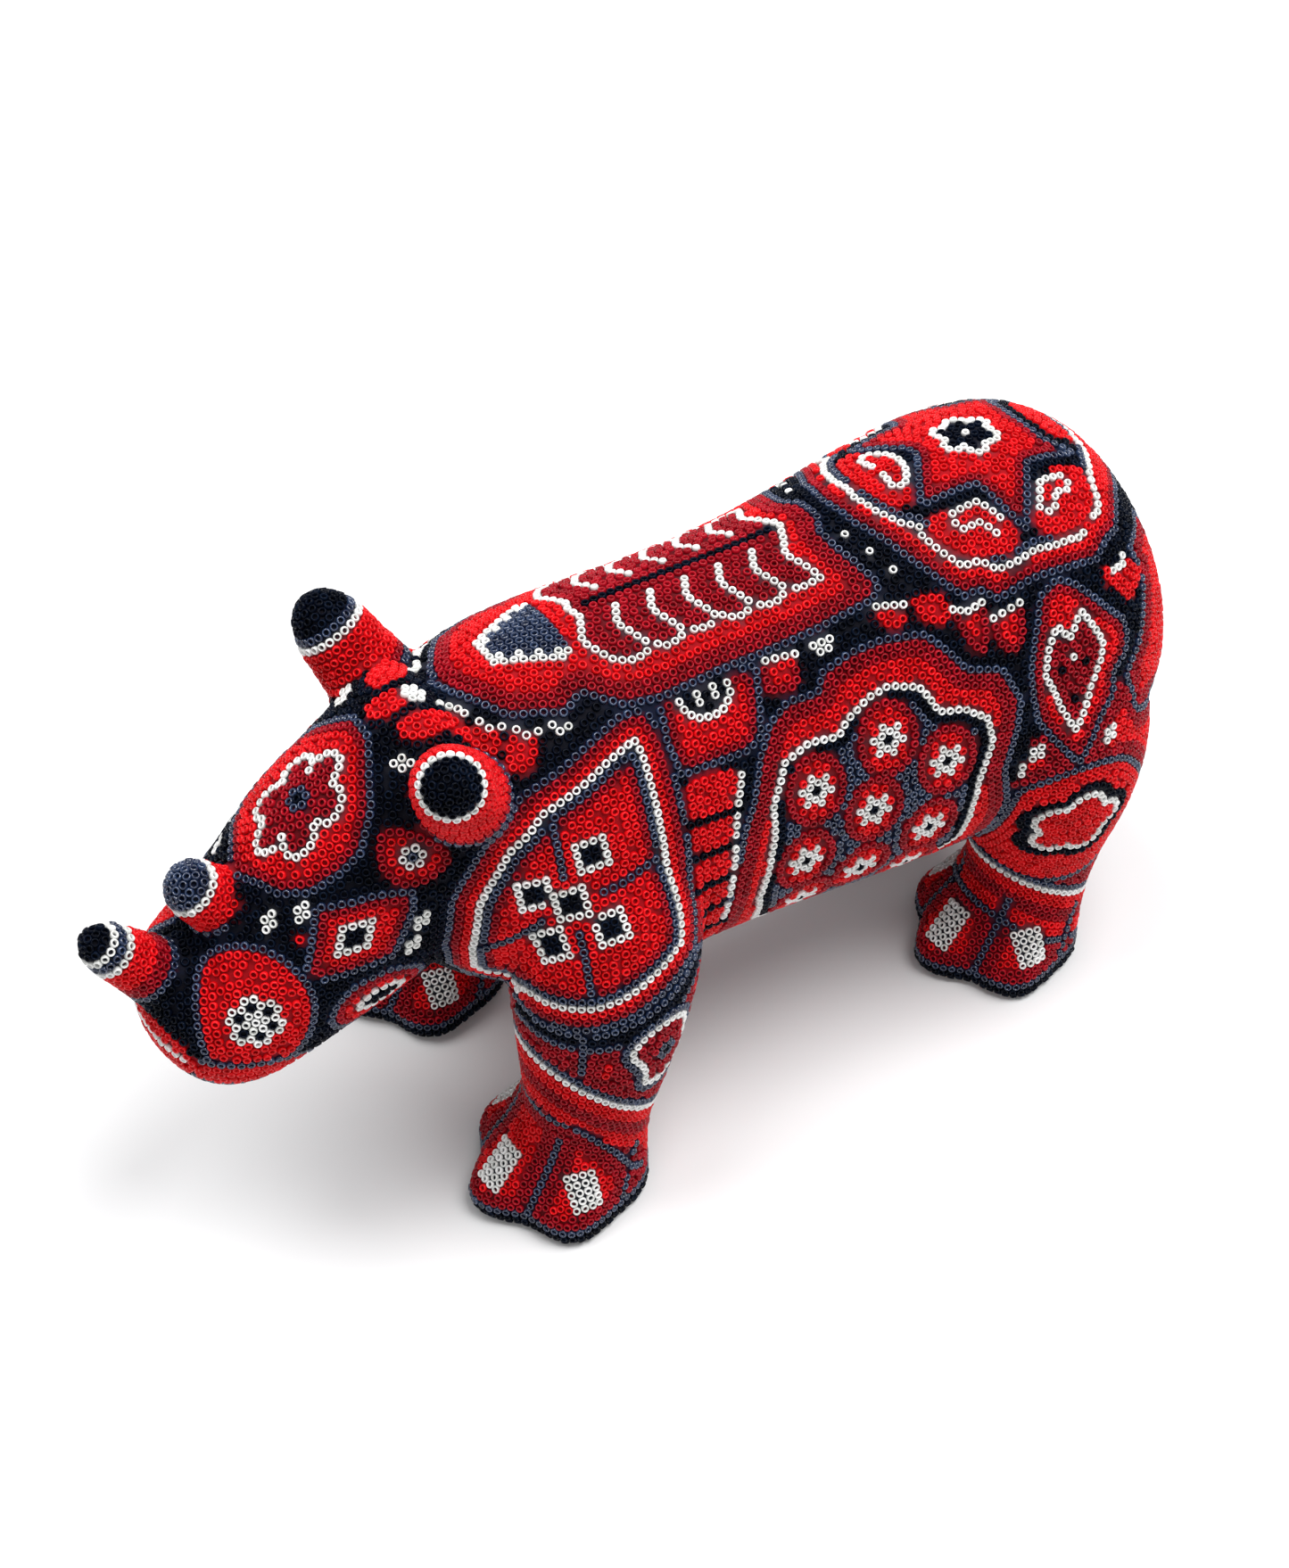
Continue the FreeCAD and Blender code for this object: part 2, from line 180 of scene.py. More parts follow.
def lay(view, point):
    """A drawn point, laid on the surface."""
    first, second, axis, side = VIEWS[view]
    start = np.zeros(3)
    start[first], start[second] = point
    start[axis] = side * FAR
    direction = np.zeros(3)
    direction[axis] = -side
    place = skin_tree.ray_cast(start, direction)[0]
    if place is None:
        start[axis] = side * 20
        place = skin_tree.find_nearest(start)[0]
    return np.array(place)


def drawn(view, points):
    """Where surface points appear on a view."""
    first, second, _, _ = VIEWS[view]
    return np.stack([points[:, first], points[:, second]], axis=1)


def faces_view(view, normals, limit):
    """Which normals turn toward the eye of a view, or not too far away from it."""
    _, _, axis, side = VIEWS[view]
    return normals[:, axis] * side > limit


def inside(polygon, points):
    """Which points lie inside a polygon, by counting crossings."""
    result = np.zeros(len(points), bool)
    x, y = points[:, 0], points[:, 1]
    for (ax, ay), (bx, by) in zip(polygon, np.roll(polygon, -1, axis=0)):
        crosses = (ay > y) != (by > y)
        slope = (bx - ax) / (by - ay) if by != ay else 0.0
        result ^= crosses & (x < ax + (y - ay) * slope)
    return result


def dense(points, closed):
    """Points close together along a drawn line."""
    points = np.asarray(points, float)
    following = np.roll(points, -1, axis=0) if closed else points[1:]
    result = []
    for start, end in zip(points, following):
        count = max(1, int(np.linalg.norm(end - start) / LINE_STEP))
        for share in np.arange(count) / count:
            result.append(start + (end - start) * share)
    if not closed:
        result.append(points[-1])
    return np.array(result)


def rounded(points, times):
    """A drawn outline with its corners cut a little, so many times."""
    points = np.asarray(points, float)
    for _ in range(times):
        following = np.roll(points, -1, axis=0)
        points = np.stack([points * 0.75 + following * 0.25,
                           points * 0.25 + following * 0.75], axis=1).reshape(-1, 2)
    return points


# ---- Beads that are set along lines ----

class Pattern:
    """The motifs in painting order, and the beads set along their lines."""

    def __init__(self):
        self.places = np.zeros((0, 3))
        self.colours = np.zeros(0, int)
        self.zones = []

    def keep(self, chosen):
        self.places, self.colours = self.places[chosen], self.colours[chosen]

    def add(self, places, colours):
        """Set beads that lie on the skin, taking out earlier ones that are in their way."""
        touching = [skin_tree.find_nearest(place)[3] < OFF_SKIN for place in places]
        if not any(touching):
            return
        places, colours = np.asarray(places)[touching], np.asarray(colours)[touching]
        if len(self.places):
            kept = np.ones(len(self.places), bool)
            tree = tree_of(places)
            low, high = places.min(axis=0) - PITCH, places.max(axis=0) + PITCH
            near = np.all((self.places > low) & (self.places < high), axis=1)
            for index in np.nonzero(near)[0]:
                kept[index] = tree.find(self.places[index])[2] >= TOO_NEAR
            self.keep(kept)
        self.places = np.concatenate([self.places, places])
        self.colours = np.concatenate([self.colours, colours])

    def string(self, line, letter, closed=False):
        """Set a string of beads of one colour along a line of surface points."""
        places = strung(line, closed)
        self.add(places, np.full(len(places), LETTERS[letter]))


pattern = Pattern()


def tree_of(places):
    tree = KDTree(len(places))
    for index, place in enumerate(places):
        tree.insert(place, index)
    tree.balance()
    return tree


def strung(places, closed):
    """Bead places at even steps along a line of surface points."""
    places = np.asarray(places)
    if closed:
        places = np.concatenate([places, places[:1]])
    reach = np.concatenate([[0], np.cumsum(np.linalg.norm(np.diff(places, axis=0), axis=1))])
    total = reach[-1]
    if total < 1.2 * PITCH:
        return places[:1] if total > 0.5 * PITCH or not closed else places[:0]
    count = max(2, round(total / PITCH))
    stops = np.arange(count if closed else count + 1) * total / count
    return np.stack([np.interp(stops, reach, places[:, axis]) for axis in range(3)], axis=1)


def chain(view, points, colour):
    """One string of beads along a drawn line."""
    pattern.string([lay(view, point) for point in dense(points, False)], colour)


def dot(view, point, colour):
    """A single bead at a drawn point."""
    pattern.add([lay(view, point)], [LETTERS[colour]])


def contours(field, tris, level):
    """Lines on the skin where the field has that level, as lists of points."""
    value = field[tris]
    above = value > level
    count = above.sum(axis=1)
    crossing = tris[(count > 0) & (count < 3)]
    links, spots = {}, {}
    for a, b, c in crossing.tolist():
        keys = []
        for p, q in ((a, b), (b, c), (c, a)):
            if (field[p] > level) != (field[q] > level):
                key = (min(p, q), max(p, q))
                keys.append(key)
                if key not in spots:
                    share = (level - field[key[0]]) / (field[key[1]] - field[key[0]])
                    spots[key] = skin[key[0]] * (1 - share) + skin[key[1]] * share
        first, second = keys
        links.setdefault(first, []).append(second)
        links.setdefault(second, []).append(first)
    lines = []
    ends = [key for key, near in links.items() if len(near) == 1]
    unused = set(links)
    for start in ends + list(links):
        if start not in unused:
            continue
        line, here = [], start
        while here is not None:
            unused.discard(here)
            line.append(spots[here])
            here = next((key for key in links[here] if key in unused), None)
        closed = len(line) > 3 and np.linalg.norm(line[0] - line[-1]) < 2.5
        lines.append((line, closed))
    return lines


def zone(view, points, rows, fill, smooth=0):
    """A filled motif: rows of beads run round inside its outline, then fill takes over."""
    added = Zone(view, rounded(points, smooth), rows, fill)
    near = added.near(skin, skin_normal, margin=3, limit=-0.1)
    field = added.depth(skin, near)
    tris = skin_tris[near[skin_tris].all(axis=1)]
    if len(pattern.places):
        covered = added.near(pattern.places)
        pattern.keep(added.depth(pattern.places, covered) < -0.5 * PITCH)
    for count, letter in enumerate(rows):
        for line, closed in contours(field, tris, 0.02 + count * ROW):
            pattern.string(line, letter, closed)
    pattern.zones.append(added)


class Zone:
    """The area of a motif, for its rows and for the colours of beads that lie between them."""

    def __init__(self, view, polygon, rows, fill):
        self.view, self.polygon, self.rows, self.fill = view, polygon, rows, fill
        outline = np.array([lay(view, point) for point in dense(polygon, True)])
        self.tree = tree_of(outline)
        axis, side = VIEWS[view][2:]
        self.hindmost = (outline[:, axis] * side).min() - BEHIND

    def near(self, places, normals=None, margin=PITCH, limit=-0.05):
        """Which places lie near the outline, on the side of the figure that the view shows."""
        flat = drawn(self.view, places)
        low, high = self.polygon.min(axis=0) - margin, self.polygon.max(axis=0) + margin
        axis, side = VIEWS[self.view][2:]
        result = np.all((flat > low) & (flat < high), axis=1)
        result &= places[:, axis] * side > self.hindmost
        if normals is not None:
            result &= faces_view(self.view, normals, limit)
        return result

    def depth(self, places, near):
        """How far inside the outline each near place lies, or a negative distance outside."""
        result = np.full(len(places), -9.0)
        index = np.nonzero(near)[0]
        within = inside(self.polygon, drawn(self.view, places[index]))
        for number, is_in in zip(index.tolist(), within.tolist()):
            away = self.tree.find(places[number])[2]
            result[number] = away if is_in else -away
        return result

    def colour(self, places, normals, layers):
        depth = self.depth(places, self.near(places, normals))
        row = np.round(depth / ROW).astype(int)
        values = np.array([LETTERS[letter] for letter in self.rows + self.fill])
        result = np.full(len(places), -1)
        chosen = depth > -0.4 * ROW
        result[chosen] = values[np.clip(row[chosen], 0, len(values) - 1)]
        return result


def view_direction(view, turn):
    """The direction that a view shows at an angle of turn degrees."""
    first, second, _, _ = VIEWS[view]
    along = np.zeros(3)
    along[first], along[second] = math.cos(math.radians(turn)), math.sin(math.radians(turn))
    return along


def surface_axes(along, normal):
    """The direction laid flat on the surface, and the one square to it."""
    along = along - normal * (along @ normal)
    along /= np.linalg.norm(along)
    return along, np.cross(normal, along)


def grid(middle, normal, along, rows, angle, stretch):
    """Beads on a small lattice round middle: the letters of a row run along, and each next row
    is one step further at the lattice angle. Rows of unequal length are centred, to make
    hexagons and other shapes."""
    along, across = surface_axes(along, normal)
    turn = math.radians(angle)
    even = len({len(letters) for letters in rows}) == 1
    next_row = (along * math.cos(turn) * even + across * math.sin(turn)) * PITCH * stretch
    spots, colours = [], []
    for number, letters in enumerate(rows):
        shift = number - (len(rows) - 1) / 2
        for column, letter in enumerate(letters):
            offset = column - (len(letters) - 1) / 2
            spots.append(on_skin(middle + along * offset * PITCH - next_row * shift)[0])
            colours.append(LETTERS[letter])
    pattern.add(spots, colours)


def patch(view, centre, turn, rows, steps=(60, 1.0)):
    """A small lattice of beads drawn on a view."""
    middle, normal = on_skin(lay(view, centre))
    grid(middle, normal, view_direction(view, turn), rows, *steps)


def ball(view, centre, turn, rings):
    """A rosette: a centre bead, then hexagonal rings of beads whose letters start at turn."""
    middle, normal = on_skin(lay(view, centre))
    along, across = surface_axes(view_direction(view, turn), normal)
    places, colours = [middle], [LETTERS[rings[0]]]
    for number, letters in enumerate(rings[1:], start=1):
        corners = [along * math.cos(t) + across * math.sin(t)
                   for t in np.arange(7) * math.pi / 3]
        for side in range(6):
            for step in range(number):
                share = step / number
                offset = corners[side] * (1 - share) + corners[side + 1] * share
                spot, _ = on_skin(middle + offset * number * PITCH)
                places.append(spot)
                colours.append(LETTERS[letters[(side * number + step) % len(letters)]])
    pattern.add(places, colours)


def both(draw, *arguments, **options):
    """Draw on the left side and again on the right side."""
    draw("left", *arguments, **options)
    draw("right", *arguments, **options)


def twice(draw, points, *arguments, **options):
    """Draw on the top and again mirrored across the pattern's middle line."""
    draw("top", points, *arguments, **options)
    if np.ndim(points) == 1:
        mirrored = (2 * TOP_CENTRE - points[0], points[1])
    else:
        mirrored = [(2 * TOP_CENTRE - x, y) for x, y in points]
    draw("top", mirrored, *arguments, **options)


# ---- Which CAD bead layer each place on the skin belongs to ----

LAYERS = sorted(name for name in frame["nodes"] if "beads" in name)
layer_verts, layer_faces, layer_owner = joined(LAYERS)
tree_of_layers = BVHTree.FromPolygons((layer_verts / MM).tolist(), layer_faces.tolist())


def layers_of(places):
    return np.array([layer_owner[tree_of_layers.find_nearest(p)[2]] for p in places])


skin_layer = layers_of(skin)


def layer_numbers(*words):
    return [n for n, name in enumerate(LAYERS) if any(word in name for word in words)]


class Bands:
    """Rings of beads round an ear, a horn or a leg, by a field of distances."""

    def __init__(self, layers, field, first, letters, limit=None):
        self.layers, self.field, self.first, self.letters = layers, field, first, letters
        self.limit = limit
        chosen = np.isin(skin_layer, layers)
        if limit is not None:
            chosen &= limit(skin)
        value = field(skin)
        tris = skin_tris[chosen[skin_tris].all(axis=1)]
        for count, letter in enumerate(letters):
            for line, closed in contours(value, tris, first + count * ROW):
                if len(line) > 3:
                    pattern.string(line, letter, closed)
        pattern.zones.append(self)

    def colour(self, places, normals, layers):
        row = np.round((self.field(places) - self.first) / ROW).astype(int)
        chosen = np.isin(layers, self.layers) & (row >= 0) & (row < len(self.letters))
        if self.limit is not None:
            chosen &= self.limit(places)
        result = np.full(len(places), -1)
        values = np.array([LETTERS[letter] for letter in self.letters])
        result[chosen] = values[row[chosen]]
        return result


# ---- The pattern, in millimetres ----

def whole(half, centre=TOP_CENTRE):
    """A whole outline, from its left half."""
    return half + [(2 * centre - x, y) for x, y in reversed(half)]


STAR = ["K", "W", "RW"]
SINGLE_RING = ["W", "W"]
FOUR = ["WW", "WW"]


def rosette(view, centre, turn):
    """A white star on a red oval disc with a dark red edge."""
    disc = [(centre[0] + 6.3 * math.cos(t), centre[1] + 8.0 * math.sin(t))
            for t in np.arange(24) * math.pi / 12]
    zone(view, disc, "D", "R")
    ball(view, centre, turn, STAR)


def flower(centre, size, lobes, turn, waist=0.62):
    """A scalloped outline with pinches between its lobes."""
    angles = np.arange(lobes * 12) * 2 * math.pi / (lobes * 12)
    reach = waist + (1 - waist) * np.abs(np.cos(lobes / 2 * (angles - math.radians(turn)))) ** 0.6
    return [(centre[0] + size[0] * r * math.cos(t), centre[1] + size[1] * r * math.sin(t))
            for r, t in zip(reach, angles)]


# Barrel: a wide scalloped medallion full of rosettes on each flank.
both(zone, [(25, 107), (27, 110), (34, 111.5), (41, 112), (50.5, 111), (54, 107.5), (58, 102),
            (65.5, 100), (69, 92), (68, 86), (65, 75), (67, 64), (66, 52), (58, 43), (40, 36),
            (20, 35), (6, 38), (-1, 48), (-1, 61), (0, 73), (3, 85), (6, 91), (9, 99),
            (13, 105), (18, 107.5)], "NDDR", "R")
both(zone, [(10, 80), (10.5, 88.5), (14.5, 96.5), (20.5, 98.5), (27, 97.5), (30.5, 100.5),
            (35.5, 103), (40.5, 103.8), (47, 101.5), (50.5, 95), (56, 94), (61, 90), (62, 84),
            (59, 75), (58, 65), (57.5, 55), (50, 45), (36, 42.5), (20, 43.5), (9, 50),
            (7, 63), (9, 75)], "WKN", "N")
for centre in ((38, 93), (51, 83), (20.5, 87.5), (33.5, 77), (47.5, 65), (17.5, 69.5),
               (32, 58.5), (19.5, 52.5), (46, 50)):
    both(rosette, centre, 15)

# Shoulder: a house-shaped shield with a cross of five diamonds.
both(zone, [(-11.5, 116.5), (-17, 116.5), (-24, 115), (-30, 113), (-36.5, 111), (-41, 109.5),
            (-49.5, 104), (-55.5, 94.5), (-58, 89.5), (-59.5, 76), (-58, 66), (-53, 60.5),
            (-47, 59.5), (-39, 60), (-32, 61.5), (-25, 64), (-13.5, 68), (-11.5, 74),
            (-10.5, 85.5), (-10.3, 99), (-10, 110.5)], "NDRWN", "DR")
for line in (((-37, 103.5), (-37.5, 93)), ((-18, 89.5), (-30.5, 88)),
             ((-37.5, 81), (-38.5, 69)), ((-43, 83), (-53, 75.5))):
    both(chain, line, "N")
DIAMOND = ["WWWW", "WKKW", "WKKW", "WWWW"]
for centre in ((-31, 96), (-43.5, 90), (-31.5, 82), (-42.5, 78), (-37, 86.5)):
    both(patch, centre, 0, DIAMOND, steps=(92, 0.98))

# Ladder between the shield and the medallion.
both(zone, [(-7.5, 101), (5, 99), (3, 93), (1, 88.5), (-1, 77.5), (-1.5, 64), (-2, 51),
            (-8, 50), (-8.5, 64), (-8.5, 74), (-8.5, 88)], "R", "R")
for rung in (((-9, 93), (3, 91)), ((-9, 84.5), (1, 83.5)), ((-9, 76), (0, 75.5)),
             ((-9, 68), (-1, 67.5)), ((-9, 60), (-1, 59.5))):
    both(chain, rung, "K")
for cap in (((2.6, 92.5), (4.5, 98)), ((1, 85.5), (1.8, 90)), ((0, 77.5), (0.6, 82)),
            ((-1, 69.5), (-0.4, 74)), ((-1.6, 61.5), (-1.2, 66))):
    both(chain, cap, "W")

# Red patch with a black cup over the shoulder.
both(zone, [(-8, 116.5), (0, 116.5), (14, 115), (10.5, 103.5), (7, 102), (-8.5, 103.5),
            (-9.5, 110)], "ND", "R")
both(zone, [(-4.2, 116), (-3.6, 113), (-1, 111), (4, 110.6), (7, 112.6), (7.2, 116)], "W", "K")
both(chain, ((0, 116), (0, 113.5)), "W")
both(chain, ((3.8, 116), (3.8, 113.5)), "W")

# Small patches under the saddle's edge.
both(zone, [(16, 115), (23, 114.5), (21, 109.5), (14.8, 110.5)], "D", "R")
both(chain, ((16.5, 115), (23, 114.3)), "W")
both(ball, (29.3, 114.5), 0, SINGLE_RING)
for outline, edge, cap in (
        ([(43, 117), (48.5, 116.5), (47, 113.5), (43.5, 114)], "R", [(43, 117), (48.5, 116.3)]),
        ([(51, 116.5), (56.5, 116), (56.5, 112), (52, 113)], "R", None),
        ([(58, 113.5), (64.5, 113), (63.5, 107), (62, 104.5), (59.5, 108)], "D",
         [(58, 113.5), (61, 112.5), (64.5, 113.3)]),
        ([(66, 110.5), (72.5, 111), (71.5, 105), (69, 102.5), (66, 105.5)], "D",
         [(66, 110), (72.5, 111.3)])):
    both(zone, outline, edge, "R")
    if cap:
        both(chain, cap, "W")

# Haunch: a leaf with a jagged white edge.
both(zone, [(77, 111), (75.5, 107), (73.5, 102.5), (72, 97.5), (72, 91), (73, 84.5),
            (76.5, 79), (80.5, 73.5), (83.5, 77), (87.5, 82), (92.5, 85), (93, 89.5),
            (96.5, 92), (97.5, 95), (97, 99.5), (93.5, 103), (90, 107), (86, 111),
            (82, 113)], "NDR", "R")
both(zone, [(79.5, 105), (82.3, 101), (86, 106), (88.3, 102), (90.5, 97.5), (89.5, 93.5),
            (86, 88), (83.5, 84.5), (80.5, 81), (78.5, 86.5), (77, 91), (75.3, 95),
            (76.5, 100)], "W", "D")
both(dot, (82.5, 97), "W")
for spot in ((79.5, 95), (85.5, 95), (82, 87.5)):
    both(dot, spot, "K")
for centre in ((72, 77.5), (89.5, 77)):
    both(patch, centre, 20, FOUR)
both(patch, (69, 73), 20, ["W", "W"])
both(chain, ((93, 68.8), (95, 69.4)), "W")
both(zone, [(104, 110), (106, 104), (103.5, 97), (101.5, 92), (98, 88), (97, 85.5), (98.5, 81.5),
            (98.5, 77.5), (103, 74.5), (112, 72), (121, 80), (119, 100), (112, 110)],
     "N", "DDR")

# Thigh: a trefoil in a black band.
both(zone, [(68, 62), (69, 68), (72.5, 69.5), (77.5, 71.5), (84, 72), (92.5, 70), (98, 64),
            (104, 54), (104, 44), (101, 36), (94, 32), (85, 31), (78, 31.5), (73, 33.5),
            (69.5, 38), (67.5, 50)], "NR", "R", smooth=1)
both(zone, flower((82.5, 53.5), (13, 12.3), 5, 80, waist=0.74), "K", "K")
both(zone, flower((82.5, 53.5), (10.4, 9.8), 5, 80, waist=0.66), "W", "R")

# Top of the rump: a six-sided disc round a star, with petals between the star's points.
zone("top", whole([(TOP_CENTRE, 46), (5.9, 47.6), (11.4, 50.5), (18, 54), (23.9, 58.4),
                   (26.6, 60.9), (26.8, 64.9), (29.3, 67.9), (29.1, 76.7), (29.7, 85.1),
                   (29.9, 93.1), (27.1, 97.6), (25.5, 101.5), (20.6, 105.2), (12, 111.5),
                   (4, 114)]), "NDRR", "R")
zone("top", whole([(TOP_CENTRE, 51.8), (0.5, 51.3), (6.3, 52.9), (10.6, 55.4), (13, 58.6),
                   (15.5, 58.1), (19.7, 60.8), (22.8, 63.2), (23.3, 67.1), (25.8, 70),
                   (26.1, 74.8), (25.7, 80), (26.3, 84), (26.3, 89.4), (26, 92.2),
                   (23.7, 93.7), (23.1, 98.1), (20.4, 100.1), (17.7, 100.8), (14.4, 102.3),
                   (8, 106), (2, 107)]), "WN", "K")
zone("top", whole([(TOP_CENTRE, 68.6), (-2.4, 68.6), (9.8, 61.3), (10.7, 74.4), (22.7, 79.4),
                   (10.4, 87.8), (10, 101.5), (5.5, 95.8), (TOP_CENTRE, 94.6)]), "ND", "RR")
zone("top", flower((-2.2, 81), (7, 7), 6, 52, waist=0.55), "W", "K")
dot("top", (-2.2, 81), "W")
zone("top", whole([(TOP_CENTRE, 66), (-0.5, 64.8), (7, 59.8), (7, 57.1), (2, 55.2),
                   (TOP_CENTRE, 54.6)]), "R", "RR")
twice(chain, [(TOP_CENTRE, 64.8), (-0.3, 64.3), (2.5, 62.8), (3.9, 61), (2.2, 59.2),
              (-1.5, 59.6)], "W")
twice(zone, [(13.4, 62.2), (14, 66.4), (14.3, 72.2), (18.8, 75.8), (21.9, 76.6), (24, 75.2),
             (23.3, 71.3), (22, 67), (20.4, 64.8), (17.5, 62.3), (14.9, 60.9)], "R", "R")
twice(chain, [(14.1, 66.3), (14, 69), (14.2, 72.4), (16.4, 74.1), (18.6, 75.3)], "W")
twice(chain, [(15.9, 65.9), (17.8, 67.1), (17.5, 70.4), (18.9, 71.8), (20.7, 73)], "W")
twice(zone, [(14.1, 89.8), (13.7, 99.6), (20, 98.3), (22.3, 95.5), (24, 91.5), (24.3, 87),
             (23.7, 83.9), (22.2, 82.8)], "R", "R")
twice(chain, [(19.7, 84.8), (14.9, 88.2), (15, 93.4)], "W")
twice(chain, [(20.9, 86.4), (20.4, 88.4), (17.8, 90.1), (18, 93.6), (16.6, 94.4)], "W")
zone("top", whole([(TOP_CENTRE, 98.4), (4.5, 100.5), (4.9, 104.5)]), "R", "R")
twice(zone, [(31.7, 94.1), (29.9, 100.3), (30.8, 105.4), (34.6, 99.9), (33.2, 96.6)], "R", "R")
twice(chain, [(29.4, 100.8), (30.6, 100.2), (31.5, 96.8)], "W")

# Black band between the saddle and the disc, with single white beads.
for spot in ((7, 44.5), (12.5, 47), (17.5, 49.5)):
    twice(dot, spot, "W")

# Neck and saddle share one red field with a navy edge.
zone("top", whole([(-6, -45), (1, -43.5), (7.5, -40), (12, -37), (13.7, -33.5), (15, -30.5),
                   (16.5, -27), (16, -25), (14.5, -22), (17, -19), (19.5, -15), (20.5, -7),
                   (19.8, 7.5), (20, 24.5), (20, 43), (18.5, 45.5), (9, 41.5), (3.5, 40.5),
                   (0, 42.5)]), "NDD", "RR")
zone("top", whole([(TOP_CENTRE, -14.5), (-0.5, -13.5), (6, -16.5), (11.2, -13.5), (13, -10.5),
                   (13, -6), (11, -4), (13, -2), (12.7, 2), (11, 4), (12.5, 6), (12.3, 9.7),
                   (11, 11.7), (12.7, 14), (13, 17.5), (11.2, 19), (13, 21.5), (13, 25.5),
                   (11, 27.7), (12.7, 30), (12.5, 35.5), (5, 31.5), (-3, 35.3)]), "W", "DD")
for start in (-6, 2, 10, 18, 26):
    twice(chain, [(0.8, start), (5.2, start - 2.2), (10.8, start + 1)], "W")
chain("top", [(TOP_CENTRE, -10.5), (TOP_CENTRE, 32.5)], "K")
patch("top", (TOP_CENTRE + 0.5, -26.8), 0,
      ["WNNNNNNNNNW", "WWNNNNNNNNWW", "WNNNNNNNNNW", "WWNNNNNNWW", "WNNNNNNNW", "WWNNNNWW",
       "WNNNNNW", "WWNNWW", "WWWWW"])

# Back of the head: petals between black lines, each with a white tip.
zone("top", [(-2, -59.7), (-1.4, -54), (0.8, -53.4), (2.6, -54.2), (2.4, -58), (0.4, -60.4)],
     "R", "R")
zone("top", [(6.6, -57.2), (6, -50.4), (6.2, -45.6), (8.2, -45.8), (10.6, -53), (8.8, -57)],
     "R", "R")
zone("top", [(-9.8, -56), (-13.6, -50.5), (-12.6, -46.5), (-6, -50), (-5, -56)], "R", "R")
ball("top", (0.3, -50.6), 30, SINGLE_RING)
ball("top", (-12.6, -60.5), 0, SINGLE_RING)
twice(chain, [(2.9, -46.4), (4.4, -44.5), (6.9, -43.6)], "W")
twice(zone, [(9.6, -46.4), (10.3, -43.2), (14.2, -40.4), (16.4, -42), (14.1, -43.8)], "R", "R")
twice(chain, [(10, -42), (12.2, -41), (13.2, -38.8)], "W")
twice(zone, [(15.9, -38.4), (17.6, -34.4), (20.4, -36), (20.7, -39.6), (19, -40.6)], "R", "R")
twice(chain, [(15, -36.6), (16.7, -35.6), (17.2, -33)], "W")
twice(chain, [(17.4, -30), (18.9, -29.2), (18.8, -27.2)], "W")
patch("top", (11.6, -59.6), 20, FOUR)

# Forehead: a red teardrop with a scalloped flower.
zone("top", whole([(0, -93.5), (7, -90), (11, -88), (15, -83), (16.5, -77), (16.5, -72),
                   (13, -67.5), (8, -65), (3.5, -62.5)], 0), "ND", "RR")
zone("top", flower((1.6, -78), (9.3, 9.9), 6, 95), "W", "D")
ball("top", (1.6, -78), 0, ["K", "N"])

# Eye, cheek and muzzle.
both(zone, [(-68.5, 107), (-69.5, 100.5), (-64.5, 96.5), (-58, 99.5), (-57, 102.5),
            (-61, 106.5), (-65, 108.5)], "D", "R", smooth=1)
both(ball, (-63.5, 103), 0, ["N", "W"])
both(zone, [(-83, 96), (-71.5, 97), (-65, 96), (-65.5, 92), (-71, 81.5), (-78, 81),
            (-89.5, 81), (-86, 88.5)], "ND", "R")
both(patch, (-77.8, 89), 0, DIAMOND, steps=(68, 0.98))
for centre in ((-64.3, 87.8), (-66.8, 81.8), (-91.3, 92.5), (-85.5, 95)):
    both(patch, centre, 20, FOUR)
both(dot, (-87.5, 90), "R")
both(zone, [(-104, 84), (-98.5, 87.5), (-93, 88), (-89.5, 84), (-88, 79), (-88.5, 72.5),
            (-91, 66), (-96, 60), (-103, 59), (-109.5, 63), (-110.5, 69), (-109.5, 76),
            (-107, 80.5)], "NR", "RR", smooth=1)
both(ball, (-99.8, 74.5), 0, ["W", "W", "WK", "RWW"])
both(zone, [(-84, 74), (-78, 77.5), (-70, 77), (-64, 72), (-64, 64), (-72, 60), (-81, 61),
            (-86, 67)], "ND", "R", smooth=1)
both(zone, [(-79, 70), (-74, 72.5), (-69, 70.5), (-69, 67), (-74, 65.5), (-79, 67)], "W", "K",
     smooth=1)
both(zone, [(-114, 66), (-109, 65), (-104, 64), (-97, 62.5), (-90, 60), (-89, 56), (-100, 54),
            (-110, 56), (-115, 60)], "NR", "R")
zone("front", [(-14, 63), (-12, 68), (-6, 70), (6, 70), (12, 68), (14, 63), (10, 58), (0, 57),
               (-10, 58)], "R", "R")
chain("front", [(-12, 64.2), (-8, 65.5), (0, 66.4), (8, 65.5), (12, 64.2)], "W")

# Belly and rear: plain large motifs.
for along in (-42, -20, 2, 24, 46, 66):
    zone("under", [(0, along - 10), (13, along), (0, along + 10), (-13, along)], "NDR", "R")
    ball("under", (0, along), 0, ["K", "W", "RW"])
zone("back", [(-24, 96), (-28, 80), (-24, 62), (-10, 48), (10, 48), (24, 62), (28, 80),
              (24, 96), (0, 104)], "NDDRRW", "NKK", smooth=1)
for centre in ((-13, 84), (13, 84), (0, 68), (-14, 64), (14, 64)):
    ball("back", centre, 0, STAR)

# Ears, horns and tail: rings counted from the tip, or on the left ear from its face.
EAR_FACE = (31.8, -58.0, 128.0)


def from_tip(tip):
    tip = np.array(tip)
    return lambda places: np.linalg.norm(places - tip, axis=1)


